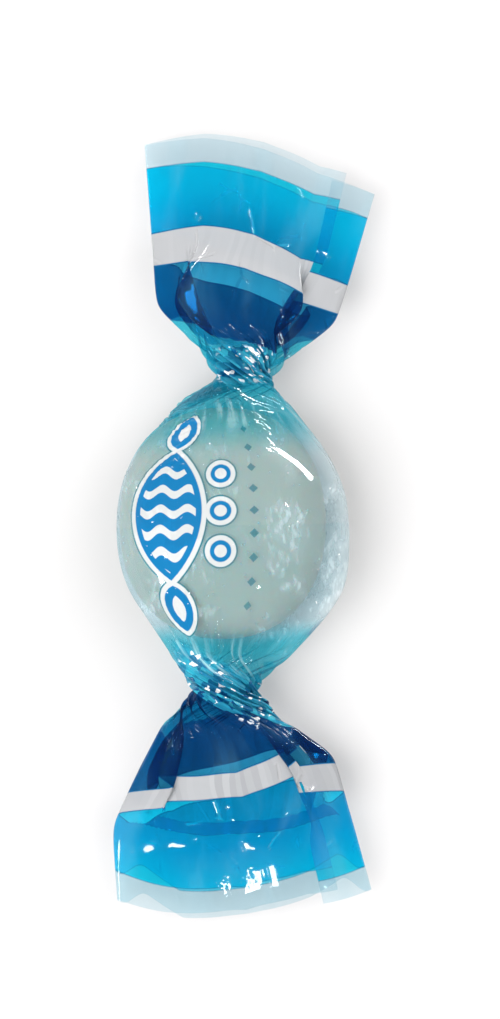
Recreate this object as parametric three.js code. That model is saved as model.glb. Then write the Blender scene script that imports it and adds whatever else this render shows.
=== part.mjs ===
// A twist-wrapped hard candy lying on its back. A boiled-sugar lozenge sits in one tube of clear film,
// which is twisted shut at both ends of the lozenge and flares out into two flattened, pleated tails.
// The film is one piece: an open tube whose wall runs from mouth to mouth, with a narrow passage
// through the crumpled core of each twist.
//
// Units are millimetres. +Y runs along the wrapper, +Z is up, and the flat spot under the lozenge
// rests on Z = 0, with the origin under the middle of the whole object.

import * as THREE from "three";
import { ParametricGeometry } from "three/addons/geometries/ParametricGeometry.js";

// ---- Driving dimensions -------------------------------------------------------------------------

const FULL_TURN = 2 * Math.PI;

// The lozenge: a superellipsoid pillow with a small flat spot below. power 2 would be an ellipsoid.
const lozenge = {
  width: 18.9,
  length: 21.2,
  thickness: 11.5,
  power: 2.3,
  flatDepth: 0.25,
  offsetX: -0.9,
  segmentsRound: 36,
  segmentsOver: 18,
};

// The film tube. The wall is the film with its crinkles, and slack is the room round the lozenge.
const film = {
  wall: 0.35,
  slack: 0.3,
  finReach: 1.8,
  finSpread: 0.45,
  shoulder: 3.2,
  opening: 2.5,
  columns: 48,
};

// The pleats that run out of each twist, both ways.
const pleats = {
  count: 12,
  depth: 0.6,
  unevenness: 0.3,
  reachOnBody: 5.0,
  reachOnTail: 7.5,
  passageRadius: 0.5,
};

// The two twisted ends. Distances along the tail are measured from the middle of the twist.
// lean turns the tail about its twist, seen from above; droop turns it down; endSlope tilts its edge.
const upperEnd = {
  side: 1,
  twistY: 13.7,
  twistX: 0.9,
  twistRadius: 2.1,
  twistReach: 3.4,
  turns: 0.5,
  tailLength: 21.6,
  tailHalfWidth: 10.9,
  flare: 5.4,
  flatten: 4.2,
  mouthHalfDepth: 0.95,
  bulge: 0.5,
  lean: THREE.MathUtils.degToRad(5.7),
  droop: THREE.MathUtils.degToRad(5),
  endSlope: -0.11,
  edgeSag: 2.0,
  folds: [
    { at: -0.55, width: 0.16, height: 0.9 },
    { at: 0.0, width: 0.34, height: 0.6 },
    { at: 0.55, width: 0.16, height: 0.8 },
  ],
};

const lowerEnd = {
  side: -1,
  twistY: 15.3,
  twistX: -0.6,
  twistRadius: 2.6,
  twistReach: 3.4,
  turns: 0.5,
  tailLength: 21.2,
  tailHalfWidth: 11.9,
  flare: 5.6,
  flatten: 4.6,
  mouthHalfDepth: 1.5,
  bulge: 1.1,
  lean: THREE.MathUtils.degToRad(4.5),
  droop: THREE.MathUtils.degToRad(5),
  endSlope: 0.09,
  edgeSag: 1.2,
  folds: [
    { at: -0.7, width: 0.16, height: 0.7 },
    { at: -0.1, width: 0.4, height: 0.5 },
    { at: 0.5, width: 0.15, height: 0.9 },
  ],
};

// How many rings of the tube's mesh each stretch takes, on the outside and on the inside of the wall.
const rings = {
  outside: { tail: 11, twist: 10, body: 14 },
  inside: { tail: 7, twist: 4, body: 10 },
};

// ---- Sizes that follow from them ----------------------------------------------------------------

// Half sizes of the lozenge, and of the film's two faces where it lies over the lozenge.
const grown = (margin) => ({
  halfWidth: lozenge.width / 2 + margin,
  halfLength: lozenge.length / 2 + margin,
  halfDepth: lozenge.thickness / 2 + margin,
});
const bareLozenge = grown(0);
const filmInside = grown(film.slack);
const filmOutside = grown(film.slack + film.wall);

// ---- Small helpers ------------------------------------------------------------------------------

const { clamp, lerp, smoothstep } = THREE.MathUtils;

// Rises from 0 towards 1, two thirds of the way after one reach.
const settle = (distance, reach) => 1 - Math.exp(-Math.max(distance, 0) / reach);

// A smooth hump, 1 in the middle and nearly gone two widths away.
const hump = (offset, width) => Math.exp(-((offset / width) ** 2));

// A cosine or sine bent so that a circle drawn with it becomes a superellipse of that power.
const bend = (value, power) => Math.sign(value) * Math.abs(value) ** (2 / power);

// ---- The lozenge --------------------------------------------------------------------------------

function makeLozenge() {
  const { halfWidth, halfLength, halfDepth } = bareLozenge;
  const geometry = new THREE.SphereGeometry(1, lozenge.segmentsRound, lozenge.segmentsOver);
  geometry.rotateX(Math.PI / 2);
  const position = geometry.getAttribute("position");
  for (let i = 0; i < position.count; i++) {
    const round = Math.atan2(position.getY(i), position.getX(i));
    const over = Math.asin(clamp(position.getZ(i), -1, 1));
    const spread = bend(Math.cos(over), lozenge.power);
    position.setXYZ(
      i,
      lozenge.offsetX + halfWidth * spread * bend(Math.cos(round), lozenge.power),
      halfLength * spread * bend(Math.sin(round), lozenge.power),
      Math.max(halfDepth * bend(Math.sin(over), lozenge.power), lozenge.flatDepth - halfDepth),
    );
  }
  geometry.computeVertexNormals();
  return geometry;
}

// ---- The film tube ------------------------------------------------------------------------------

// Places on the film are given by their distance past the middle of the nearer twist: negative over
// the lozenge, positive along the tail.

// Half the size of taut film at past: it lies on the lozenge's curve and leaves it along the straight
// line that just touches the curve and ends at the twist, endRadius from the middle.
function tautSize(past, halfSize, halfLength, end, endRadius) {
  const curve = (y) => halfSize * (1 - Math.min(y / halfLength, 1) ** lozenge.power) ** (1 / lozenge.power);
  const slopeFrom = (y) => (curve(y) - endRadius) / (end.twistY - y);
  let touching = 0;
  const step = halfLength / 200;
  while (touching < halfLength && slopeFrom(touching + step) > slopeFrom(touching)) touching += step;
  const y = end.twistY + past;
  return y <= touching ? curve(y) : endRadius - slopeFrom(touching) * past;
}

// How deep the pleats are at past, and the deepest valley that they cut into the film.
function pleatDepth(past) {
  return pleats.depth * hump(past, past < 0 ? pleats.reachOnBody : pleats.reachOnTail);
}
const deepestValley = (past) => pleatDepth(past) * (1 + pleats.unevenness);

// The pleat at an angle round the film: out on its ridge, in on its valley. No two are alike.
function pleatHeight(round, past) {
  const uneven = 1 + pleats.unevenness * Math.sin(3 * round + 1.1);
  return pleatDepth(past) * uneven * Math.cos(pleats.count * round);
}

// The angle that the twist has turned the film by.
function twistAngle(past, end) {
  return end.side * end.turns * FULL_TURN * smoothstep(past, -end.twistReach, end.twistReach);
}

// The half width and half depth of the film's outer face, without its pleats.
function outerSize(past, end) {
  if (past < 0) {
    const { halfWidth, halfDepth, halfLength } = filmOutside;
    return {
      halfWidth: tautSize(past, halfWidth, halfLength, end, end.twistRadius),
      halfDepth: tautSize(past, halfDepth, halfLength, end, end.twistRadius),
    };
  }
  const puff = end.bulge * Math.sin(Math.PI * Math.min(past / end.tailLength, 1)) ** 2;
  return {
    halfWidth: lerp(end.twistRadius, end.tailHalfWidth, settle(past, end.flare)),
    halfDepth: lerp(end.twistRadius, end.mouthHalfDepth, settle(past, end.flatten)) + puff,
  };
}

// The same for its inner face. That follows the lozenge, narrows to the passage through the twist,
// and along the tail keeps one wall away from the outside's valleys.
function innerSize(past, end) {
  const passage = pleats.passageRadius;
  if (past < 0) {
    const { halfWidth, halfDepth, halfLength } = filmInside;
    return {
      halfWidth: tautSize(past, halfWidth, halfLength, end, passage),
      halfDepth: tautSize(past, halfDepth, halfLength, end, passage),
    };
  }
  const outer = outerSize(past, end);
  const inset = film.wall + deepestValley(past);
  const opened = settle(past, film.opening);
  return {
    halfWidth: lerp(passage, Math.max(outer.halfWidth - inset, passage), opened),
    halfDepth: lerp(passage, Math.max(outer.halfDepth - inset, passage), opened),
  };
}

// The folds that run the length of a tail lift both its layers together.
function foldHeight(share, past, end) {
  const growing = smoothstep(past, 1, 7) * lerp(1, 0.45, past / end.tailLength);
  return growing * end.folds.reduce((sum, fold) => sum + fold.height * hump(share - fold.at, fold.width), 0);
}

// Over the lozenge a loose fin of film stands out on the right, and the underside is flat.
function placeOnBody(target, angle, past, end, inside) {
  const onLozenge = smoothstep(-past, 0, film.shoulder);
  const fin = inside ? 0 : film.finReach * hump(Math.sin(angle / 2), film.finSpread) * onLozenge;
  const floor = lozenge.flatDepth - (inside ? filmInside : filmOutside).halfDepth;
  target.x += lerp(end.twistX, lozenge.offsetX, onLozenge) + fin;
  target.y = end.side * (end.twistY + past);
  target.z = Math.max(target.z, floor);
}

// Along a tail the end edge sags at its corners and slopes, and the whole tail turns about the twist.
function placeOnTail(target, past, end) {
  const share = target.x / outerSize(past, end).halfWidth;
  const along = past / end.tailLength;
  const sag = along * (end.edgeSag * share ** 2 - end.endSlope * end.tailHalfWidth * share);
  target.y = end.side * (past - sag);
  target.z += foldHeight(share, past, end);
  const turned = -end.side * settle(past, end.flare / 2);
  target.applyAxisAngle(new THREE.Vector3(1, 0, 0), turned * end.droop);
  target.applyAxisAngle(new THREE.Vector3(0, 0, 1), turned * end.lean);
  target.x += end.twistX;
  target.y += end.side * end.twistY;
}

// A point of the film's outer or inner face.
function filmPoint(round, { past, end, inside }, target) {
  const { halfWidth, halfDepth } = inside ? innerSize(past, end) : outerSize(past, end);
  const pleat = inside ? 0 : pleatHeight(round, past);
  const angle = round + twistAngle(past, end);
  const power = lerp(2, lozenge.power, smoothstep(-past, 0, film.shoulder));
  const x = (halfWidth + pleat) * bend(Math.cos(angle), power);
  target.set(x, 0, (halfDepth + pleat) * bend(Math.sin(angle), power));
  if (past < 0) placeOnBody(target, angle, past, end, inside);
  else placeOnTail(target, past, end);
}

// The places of the tube's rings, from the upper mouth down to the lower one.
function ringPlaces({ tail, twist, body }) {
  const places = [];
  const stretch = (end, from, to, steps) => {
    for (let i = 0; i < steps; i++) places.push({ end, past: lerp(from, to, i / steps) });
  };
  const half = body / 2;
  stretch(upperEnd, upperEnd.tailLength, upperEnd.twistReach, tail);
  stretch(upperEnd, upperEnd.twistReach, -upperEnd.twistReach, twist);
  stretch(upperEnd, -upperEnd.twistReach, -upperEnd.twistY, half);
  stretch(lowerEnd, -lowerEnd.twistY, -lowerEnd.twistReach, half);
  stretch(lowerEnd, -lowerEnd.twistReach, lowerEnd.twistReach, twist);
  stretch(lowerEnd, lowerEnd.twistReach, lowerEnd.tailLength, tail);
  places.push({ end: lowerEnd, past: lowerEnd.tailLength });
  return places;
}

// Down the outside of the wall, round the lower mouth's rim, up the inside and over the upper rim.
function makeFilm() {
  const outside = ringPlaces(rings.outside).map((place) => ({ ...place, inside: false }));
  const inside = ringPlaces(rings.inside).map((place) => ({ ...place, inside: true }));
  const loop = [...outside, ...inside.reverse(), outside[0]];
  const surface = (u, v, target) =>
    filmPoint((u % 1) * FULL_TURN, loop[Math.round(v * (loop.length - 1))], target);
  const geometry = new ParametricGeometry(surface, film.columns, loop.length - 1);
  geometry.computeVertexNormals();
  return geometry;
}

// ---- The object ---------------------------------------------------------------------------------

const sugar = new THREE.MeshStandardMaterial({ color: 0x9fbab4, roughness: 0.25, metalness: 0 });
const printedFilm = new THREE.MeshStandardMaterial({
  color: 0x35a9d2,
  roughness: 0.12,
  metalness: 0,
  transparent: true,
  opacity: 0.5,
  side: THREE.DoubleSide,
});

const candy = new THREE.Mesh(makeLozenge(), sugar);
candy.name = "candy";

const wrapper = new THREE.Mesh(makeFilm(), printedFilm);
wrapper.name = "wrapper";

const wrappedCandy = new THREE.Group();
wrappedCandy.add(candy, wrapper);

// Stands the object on Z = 0 with its middle over the origin.
const extent = new THREE.Box3().setFromObject(wrappedCandy, true);
const middle = extent.getCenter(new THREE.Vector3());
wrappedCandy.position.set(-middle.x, -middle.y, -extent.min.z);

export default wrappedCandy;
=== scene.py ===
"""A boiled sweet in a clear, striped twist wrapper, lying on a pale floor.

The sweet is a smooth pillow of boiled sugar. The wrapper is one sheet of film: it goes round the sweet
with an overlap, is twisted shut at both ends, and flares into two flattened tails. The sheet is first
laid out as a rule says, and then relaxed like real film, which bends and buckles but hardly stretches.

Lengths are in millimetres until a mesh is made; Blender's own units are metres.
"""

import math
from dataclasses import dataclass
from types import SimpleNamespace

import bpy
import numpy as np
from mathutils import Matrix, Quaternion, Vector


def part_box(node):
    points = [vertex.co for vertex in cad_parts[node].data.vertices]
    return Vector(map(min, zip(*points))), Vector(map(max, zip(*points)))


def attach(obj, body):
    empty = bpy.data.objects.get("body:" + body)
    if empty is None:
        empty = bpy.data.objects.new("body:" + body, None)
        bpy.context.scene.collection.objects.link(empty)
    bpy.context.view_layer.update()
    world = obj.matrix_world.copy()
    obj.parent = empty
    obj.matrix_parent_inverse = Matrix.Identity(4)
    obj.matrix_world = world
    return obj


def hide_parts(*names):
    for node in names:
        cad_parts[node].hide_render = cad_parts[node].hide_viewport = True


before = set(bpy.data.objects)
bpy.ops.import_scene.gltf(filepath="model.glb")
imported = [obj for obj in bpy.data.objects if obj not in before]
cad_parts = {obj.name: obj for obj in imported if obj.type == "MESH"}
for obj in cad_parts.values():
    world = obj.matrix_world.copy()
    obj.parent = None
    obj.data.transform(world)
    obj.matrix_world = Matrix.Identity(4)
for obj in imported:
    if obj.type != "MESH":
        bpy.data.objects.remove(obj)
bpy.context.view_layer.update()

# ---- Sizes --------------------------------------------------------------------------------------

MM = 0.001
SEED = 7

# The sweet's section is between an ellipse, which would be 2, and a rectangle.
SWEET_POWER = 2.2
# How far up from the sweet's lowest point its flat spot lies.
SWEET_FLAT = 0.25
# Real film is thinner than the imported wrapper's wall, so the sweet lies a little lower in it.
SETTLED = np.array([0.0, 0.05, -0.2])


def packed_sweet():
    """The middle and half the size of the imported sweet's whole curve, as if it had no flat spot."""
    low, high = (np.array(corner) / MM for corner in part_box("candy"))
    low[2] -= SWEET_FLAT
    return np.round((low + high) / 2, 2), np.round((high - low) / 2, 2)


PACKED_MIDDLE, SWEET_HALF = packed_sweet()
# The middle of the sweet, on the axis that runs through both twists.
CORE = PACKED_MIDDLE + SETTLED

# The sheet of film goes round the sweet a little more than once.
TURNS = 1.03
SEAM_ANGLE = math.radians(24)
# How far the second turn lies below the first, as the sheet isn't rolled quite square.
SKEW = 1.0
# Half the length of film in one turn, which is also the width of a tail pressed flat.
TAIL_WIDTH = 24.0
# Film from the middle of the sheet to the middle of a twist, and from there to the end of a tail.
TO_TWIST = 16.2
TAIL_LENGTH = 22.4
SHEET_WIDTH = 2 * TURNS * TAIL_WIDTH
SHEET_LENGTH = 2 * (TO_TWIST + TAIL_LENGTH)

FILM_GAP = 0.2  # from the sweet to the film as it is laid out
LEAST_GAP = 0.12  # from the sweet to the relaxed film
FLOOR_GAP = 0.05
OVERLAP_GAP = 0.2  # between the sheet's inner edge and its outer edge
FIN_REACH = 1.9  # how far the film's fold stands out beside the sweet
EAR_HEIGHT = 1.5  # how far the outer ends of a tail's folds stand up
FLAP_HEIGHT = 0.4  # how far the rest of each fold does

# Pleats across the sheet: fine ones in the twists, coarse ones further out.
FINE_PLEATS = 14
COARSE_PLEATS = 5
PLEAT_LEAN = 1.0

# The sheet is relaxed on grids, each twice as fine as the last: rows and columns of the first one,
# and for each grid how many rounds it gets, and how far the twists are crushed at random before them.
FIRST_GRID = (77, 65)
ROUNDS = (40, 40, 60)
CRUSHES = (0.30, 0.08, 0.03)
STIFFNESS = 0.12
# Where on a tail the film's slide is given: shares of its half-width, from left to right.
ACROSS_TAIL = (-1.0, -0.5, 0.0, 0.5, 1.0)


@dataclass
class Fold:
    """A flat fold that runs along one layer of a tail."""

    front: bool
    at: float  # share of the half-width
    taken: float  # film that the fold uses up
    over: int  # 1 where the film on its left lies on top, -1 where the film on its right does
    end: float  # how far along the tail it reaches


@dataclass
class Crush:
    """Where the film of one twist is crushed hardest: a band across it."""

    at: tuple  # the band's middle, from the middle of the scene and with Y away from the sweet
    slant: float  # how far it drifts away from the sweet for each millimetre to the right
    inner: float  # where it starts, on the sweet's side of its middle
    aside: tuple  # how far to either side it has gone, and how far it is whole


@dataclass
class Tail:
    """One twisted end of the wrapper. Its outline on each side is a steep line out of the twist that
    turns smoothly into a shallow one: (slope near the twist, start and slope of the shallow line,
    widest). Each edge of a stripe, from the end edge inwards, is given as (its distance from the end
    edge at the tail's left side, and at its right side, and how much further in it lies in the middle
    of the front, and of the back)."""

    side: int  # 1 for the upper end, -1 for the lower one
    twist: tuple  # the middle of the twist, from the middle of the sweet
    core: float  # half the thickness of the twist
    left: tuple
    right: tuple
    half_depth: float  # half the thickness of the flattened tail
    bulge: tuple  # height, place across and along the tail, and its size both ways
    lean: float  # degrees that the tail leans to its right as seen from the sweet
    droop: float  # degrees that it slopes down to the floor
    slide_front: tuple  # how far the film has slid out of the twist, across the tail
    slide_back: tuple
    folds: tuple
    cross_fold: tuple  # a fold across the back layer: its place along the tail, and its width
    stripes: tuple  # the outer edges of cyan, white and navy, and the inner edge of navy
    fin: float  # how much further the fin reaches near this end of the sweet
    crush: Crush
    reach: float = 4.5  # film on either side of the twist's middle that is wound
    turn: float = 0.5  # turns that the twist makes


UPPER = Tail(
    side=1, twist=(1.93, 13.7), core=1.75,
    left=(0.97, 7.4, 0.18, 20.0), right=(0.86, 6.8, 0.184, 20.0),
    half_depth=0.7, bulge=(0.6, 0.1, 12.0, 9.0, 5.0), lean=5.7, droop=10.0,
    slide_front=(-0.5, -0.5, -1.2, -2.8, -2.6), slide_back=(-0.5, -0.6, -1.3, -2.7, -2.6),
    folds=(
        Fold(True, -0.6, 4.2, -1, 13.0), Fold(True, 0.56, 3.8, 1, 12.0),
        Fold(False, -0.72, 2.6, 1, 12.0), Fold(False, 0.66, 2.6, -1, 12.0),
    ),
    cross_fold=None,
    stripes=(
        (2.2, 2.3, 0.5, 0.5), (8.1, 8.6, 0.3, 1.9), (11.0, 11.4, 0.7, 2.1), (16.0, 14.5, 3.6, 3.2),
    ),
    fin=-0.5,
    crush=Crush(at=(-0.03, 14.1), slant=0.0, inner=-1.7, aside=(3.8, 1.9)),
)
LOWER = Tail(
    side=-1, twist=(0.44, 15.3), core=2.2,
    left=(1.3, 4.2, 0.54, 11.8), right=(0.88, 7.9, 0.19, 20.0),
    half_depth=0.9, bulge=(3.0, 0.5, 14.3, 11.0, 4.4), lean=4.5, droop=9.0,
    slide_front=(-1.9, -1.3, -0.4, -1.8, -1.5), slide_back=(-1.9, 1.2, 0.85, 0.0, -1.5),
    folds=(
        Fold(True, -0.65, 3.4, 1, 14.0), Fold(True, 0.62, 3.4, -1, 16.0),
        Fold(False, -0.75, 3.2, 1, 14.0), Fold(False, 0.78, 3.2, -1, 14.0),
    ),
    cross_fold=(13.9, 1.3),
    stripes=(
        (2.6, 2.2, -0.2, 0.0), (7.6, 9.2, 3.4, 5.2), (9.7, 11.9, 3.3, 5.9), (16.0, 16.3, 5.4, 5.4),
    ),
    fin=1.0,
    crush=Crush(at=(-1.03, 14.9), slant=0.5, inner=-2.6, aside=(6.6, 4.2)),
)


# ---- Small helpers ------------------------------------------------------------------------------


def smoothstep(value, low, high):
    t = np.clip((value - low) / (high - low), 0, 1)
    return t * t * (3 - 2 * t)


def lerp(a, b, t):
    return a + (b - a) * t


def hump(offset, width):
    return np.exp(-((offset / width) ** 2))


def settle(distance, reach):
    """0 at no distance, rising towards 1 well past reach."""
    return 1 - np.exp(-np.maximum(distance, 0) / reach)


def smaller(a, b, blend):
    """The smaller of two values, rounded off where they cross."""
    return (a + b - np.sqrt((a - b) ** 2 + blend**2)) / 2


def bend(value, power):
    """Turns a sine or cosine into that of a rounded section of the given power."""
    return np.sign(value) * np.abs(value) ** (2 / power)


# ---- The film as laid out -----------------------------------------------------------------------


def taut_size(y, half_size, half_length, tail):
    """Half the size of taut film at y: on the sweet's curve, then straight to the twist."""
    samples = np.linspace(0, half_length * 0.999, 400)
    curve = half_size * (1 - (samples / half_length) ** SWEET_POWER) ** (1 / SWEET_POWER)
    slopes = (curve - tail.core) / (tail.twist[1] - samples)
    touch = int(np.argmax(slopes))
    straight = tail.core + slopes[touch] * (tail.twist[1] - y)
    return np.where(y <= samples[touch], np.interp(y, samples, curve), straight)


def even_angle(angle, half):
    """The angle on the sweet's rounded section at which a given share of its length is reached."""
    samples = np.linspace(0, 2 * np.pi, 721)
    x, z = half[0] * bend(np.cos(samples), SWEET_POWER), half[2] * bend(np.sin(samples), SWEET_POWER)
    length = np.concatenate([[0], np.cumsum(np.hypot(np.diff(x), np.diff(z)))])
    whole = np.floor(angle / (2 * np.pi))
    part = angle / (2 * np.pi) - whole
    return np.interp(part * length[-1], length, samples) + whole * 2 * np.pi


def pleat_profile(across, pleats, seed):
    """An uneven zigzag across the sheet, from -1 in a valley to 1 on a ridge."""
    rng = np.random.default_rng(seed)
    steps = rng.uniform(0.5, 1.5, 2 * pleats)
    knots = np.concatenate([[0], np.cumsum(steps)]) / steps.sum()
    heights = rng.uniform(0.6, 1.0, knots.size) * np.where(np.arange(knots.size) % 2, -1, 1)
    return np.interp(across, knots, heights)


def pleats_out(across, past, fill):
    """How far pleats stand out where the film has only a share, fill, of its width to lie in."""
    spare = np.sqrt(1 - np.clip(fill, 0, 1) ** 2)
    fine = TAIL_WIDTH / (2 * FINE_PLEATS) * pleat_profile(across, FINE_PLEATS, SEED)
    coarse = TAIL_WIDTH / (2 * COARSE_PLEATS) * pleat_profile(across, COARSE_PLEATS, SEED + 1)
    # A little way out of the twist the pleats run out, and the folds take up what is spare.
    spare = spare * (1 - 0.9 * smoothstep(past, 1, 6))
    return spare * lerp(fine, 0.55 * coarse, smoothstep(past, 1, 7))


def lay_out_film(rows, columns):
    """The sheet's grid of points before it is relaxed, as an array of XYZ by rows by columns."""
    across, along = np.meshgrid(
        np.linspace(0, 1, columns), np.linspace(-SHEET_LENGTH / 2, SHEET_LENGTH / 2, rows)
    )
    points = np.where(along >= 0, lay_out_end(UPPER, across, along), lay_out_end(LOWER, across, along))
    return points + CORE[:, None, None]


def lay_out_end(tail, across, along):
    """The half of the sheet that belongs to one tail, right only on that tail's side."""
    tail_angle = SEAM_ANGLE + TURNS * 2 * np.pi * across
    share = np.arcsin(np.cos(tail_angle)) * 2 / np.pi
    slid = np.where(
        np.sin(tail_angle) > 0,
        np.interp(share, ACROSS_TAIL, tail.slide_front),
        np.interp(share, ACROSS_TAIL, tail.slide_back),
    )
    past = np.abs(along) - TO_TWIST + slid * smoothstep(np.abs(along), 4, TO_TWIST + 4)
    untwisted = smoothstep(past, -tail.reach, tail.reach) - 1
    angle = tail_angle + tail.side * tail.turn * 2 * np.pi * untwisted
    skew = SKEW * TURNS * (0.5 - across)
    return np.where(
        past < 0,
        lay_out_body(tail, across, past, angle, skew),
        lay_out_tail(tail, across, past, angle, skew),
    )


def lay_out_body(tail, across, past, angle, skew):
    """Film round the sweet, from its middle to the middle of a twist."""
    q = np.clip(1 + past / TO_TWIST, 0, 1)
    # Film runs straight at first, and slopes towards the axis as it nears the twist.
    y = tail.twist[1] * (1.13 * q - 0.13 * q**3)
    half = SWEET_HALF + FILM_GAP
    width = taut_size(y, half[0], half[1], tail)
    depth = taut_size(y, half[2], half[1], tail)
    on_sweet = smoothstep(-past, 0, 4)
    angle = lerp(angle, even_angle(angle, half), on_sweet)
    power = lerp(2, SWEET_POWER, on_sweet)
    fill = np.pi / TAIL_WIDTH * np.sqrt((width**2 + depth**2) / 2)
    pleat = pleats_out(across, past, fill) * hump(past, 2.2)
    out = pleat + OVERLAP_GAP * (across - 0.5)
    angle = angle + PLEAT_LEAN * pleat / (width + 0.5)
    fin = (FIN_REACH + tail.fin * hump(q - 0.45, 0.25)) * hump(np.sin(angle / 2), 0.3) * on_sweet
    x = (width + out) * bend(np.cos(angle), power) + lerp(tail.twist[0], 0, on_sweet) + fin
    z = (depth + out) * bend(np.sin(angle), power)
    return np.stack([x, tail.side * y + skew, np.maximum(z, FLOOR_GAP - CORE[2])])


def outline(tail, past, line):
    """How far one side of a tail lies from its middle."""
    slope, start, shallow, widest = line
    rounding = 0.6
    return smaller(smaller(tail.core + slope * past, start + shallow * past, rounding), widest, rounding)


def fold_film(tail, film_x, past, front):
    """How the folds move the film beside them inwards, how they lift it, and what each side loses."""
    moved, lift = np.zeros_like(film_x), np.zeros_like(film_x)
    lost = [np.zeros_like(film_x), np.zeros_like(film_x)]
    for fold in tail.folds:
        width = fold.taken / 2
        offset = film_x - fold.at * TAIL_WIDTH / 2
        step = np.clip(offset / width + 0.5, 0, 1)
        strength = smoothstep(past, 0, 5) * (1 - smoothstep(past, fold.end - 6, fold.end))
        strength = strength * (front == fold.front)
        on_left = fold.at < 0
        moved += fold.taken * strength * (on_left - step)
        lost[0 if on_left else 1] += fold.taken * strength
        # Its outer end stands up a little, like an ear.
        tall = lerp(FLAP_HEIGHT, EAR_HEIGHT, smoothstep(past, fold.end - 9, fold.end - 4))
        lift += fold.over * tall * (0.5 - step) * strength * hump(offset, width * 1.6)
    return moved, lift, lost


def lay_out_tail(tail, across, past, angle, skew):
    """Film past the middle of a twist: round at first, and then pressed flat, folded and spread."""
    past = np.maximum(past, 0)
    flat = smoothstep(past, 0.5, 6)
    share = lerp(np.cos(angle), np.arcsin(np.cos(angle)) * 2 / np.pi, flat)
    front = np.sin(angle) > 0
    side = np.where(front, 1, -1)

    film_x = share * TAIL_WIDTH / 2
    moved, lift, lost = fold_film(tail, film_x, past, front)
    low, high = lost[0] - TAIL_WIDTH / 2, TAIL_WIDTH / 2 - lost[1]
    place = (film_x + moved - low) / (high - low)

    left, right = outline(tail, past, tail.left), outline(tail, past, tail.right)
    fill = (left + right) / (high - low) * lerp(np.pi / 2, 1, flat)
    pleat = pleats_out(across, past, fill)
    out = pleat + OVERLAP_GAP * (across - 0.5)
    leaned = angle + PLEAT_LEAN * pleat / (tail.core + 0.5) * (1 - smoothstep(past, 0, 2.5))
    x = lerp(-left, right, place) + out * np.cos(angle) * (1 - flat)
    x += (left + right) / 2 * (np.cos(leaned) - np.cos(angle)) * (1 - flat) + 0.5 * pleat * flat

    height, bulge_x, bulge_y, size_x, size_y = tail.bulge
    height = height * hump(x - bulge_x, size_x) * (1 - share**2) * front
    puff = height * hump(past - bulge_y, size_y)
    # Film that goes up and down over the bulge reaches less far: half its slope squared, summed.
    past = past - 0.63 * height**2 / size_y * smoothstep(past, bulge_y - size_y, bulge_y + size_y)
    depth = lerp(tail.core, tail.half_depth, settle(past, 4.2))
    flank = lerp(np.sin(leaned), side * np.sqrt(1 - share**2), flat)
    z = depth * flank + side * lerp(out * np.abs(np.sin(angle)), out, flat) + puff + lift
    if tail.cross_fold:
        at, width = tail.cross_fold
        inside = ~front * (1 - smoothstep(np.abs(share), 0.75, 0.98))
        step = np.clip((past - at) / width + 0.5, 0, 1)
        z += FLAP_HEIGHT * (0.5 - step) * inside * hump(past - at, width * 1.6)
        past = past - 2 * width * step * inside

    # The columns of film fan out, so those at the sides reach less far along the tail.
    spread = np.arctan((np.abs(x) - tail.core).clip(0) / np.maximum(past, 0.1))
    y = tail.side * past * np.cos(spread) + skew
    bent = settle(past, 3)
    z -= past * np.sin(bent * math.radians(tail.droop))
    yaw = -tail.side * bent * math.radians(tail.lean)
    x, y = x * np.cos(yaw) - y * np.sin(yaw), x * np.sin(yaw) + y * np.cos(yaw)
    return np.stack([x + tail.twist[0], y + tail.side * tail.twist[1], z])


# ---- The film relaxed ---------------------------------------------------------------------------


def correct(a, b, rest, share):
    """Moves two sets of points towards their resting distance, in place."""
    gap = b - a
    length = np.sqrt((gap * gap).sum(0)) + 1e-9
    gap *= share * 0.5 * (1 - rest / length)
    a += gap
    b -= gap


def relax_round(p, across, along, slanting):
    """One round over the sheet: threads both ways, both diagonals, and bending over every second.
    across is each row's resting distance between columns, along the one to the next row, and
    slanting how strong each row's diagonals are."""
    slant = np.hypot((across[:-1] + across[1:]) / 2, along)
    for start in (0, 1):
        n = (p.shape[2] - start) // 2 * 2 + start
        correct(p[:, :, start:n:2], p[:, :, start + 1 : n : 2], across[:, None], 1)
        m = (p.shape[1] - start) // 2 * 2 + start
        upper, lower = p[:, start:m:2], p[:, start + 1 : m : 2]
        correct(upper, lower, along[start : m - 1 : 2, None], 1)
        tilt, strong = slant[start : m - 1 : 2, None], slanting[start : m - 1 : 2, None]
        correct(upper[:, :, :-1], lower[:, :, 1:], tilt, strong)
        correct(upper[:, :, 1:], lower[:, :, :-1], tilt, strong)
    two_rows = along[:-1] + along[1:]
    for start in range(4):
        a, b = p[:, :, start::4], p[:, :, start + 2 :: 4]
        n = min(a.shape[2], b.shape[2])
        correct(a[:, :, :n], b[:, :, :n], 2 * across[:, None], STIFFNESS)
        a, b = p[:, start::4], p[:, start + 2 :: 4]
        m = min(a.shape[1], b.shape[1])
        correct(a[:, :m], b[:, :m], two_rows[start::4][:m, None], STIFFNESS)


def keep_off_sweet(p):
    """Pushes points that are inside the sweet out to just above its surface."""
    half = (SWEET_HALF + LEAST_GAP)[:, None, None]
    q = (p - CORE[:, None, None]) / half
    size = (np.abs(q) ** SWEET_POWER).sum(0) ** (1 / SWEET_POWER)
    inside = size < 1
    p[:, inside] = CORE[:, None] + q[:, inside] / size[inside] * half[:, :, 0]


def finer(p):
    """The same sheet with a point added between every two."""
    for axis in (1, 2):
        a = np.moveaxis(p, axis, 0)
        new = np.empty((2 * len(a) - 1, *a.shape[1:]))
        new[::2], new[1::2] = a, (a[:-1] + a[1:]) / 2
        p = np.moveaxis(new, 0, axis)
    return np.ascontiguousarray(p)


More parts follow.
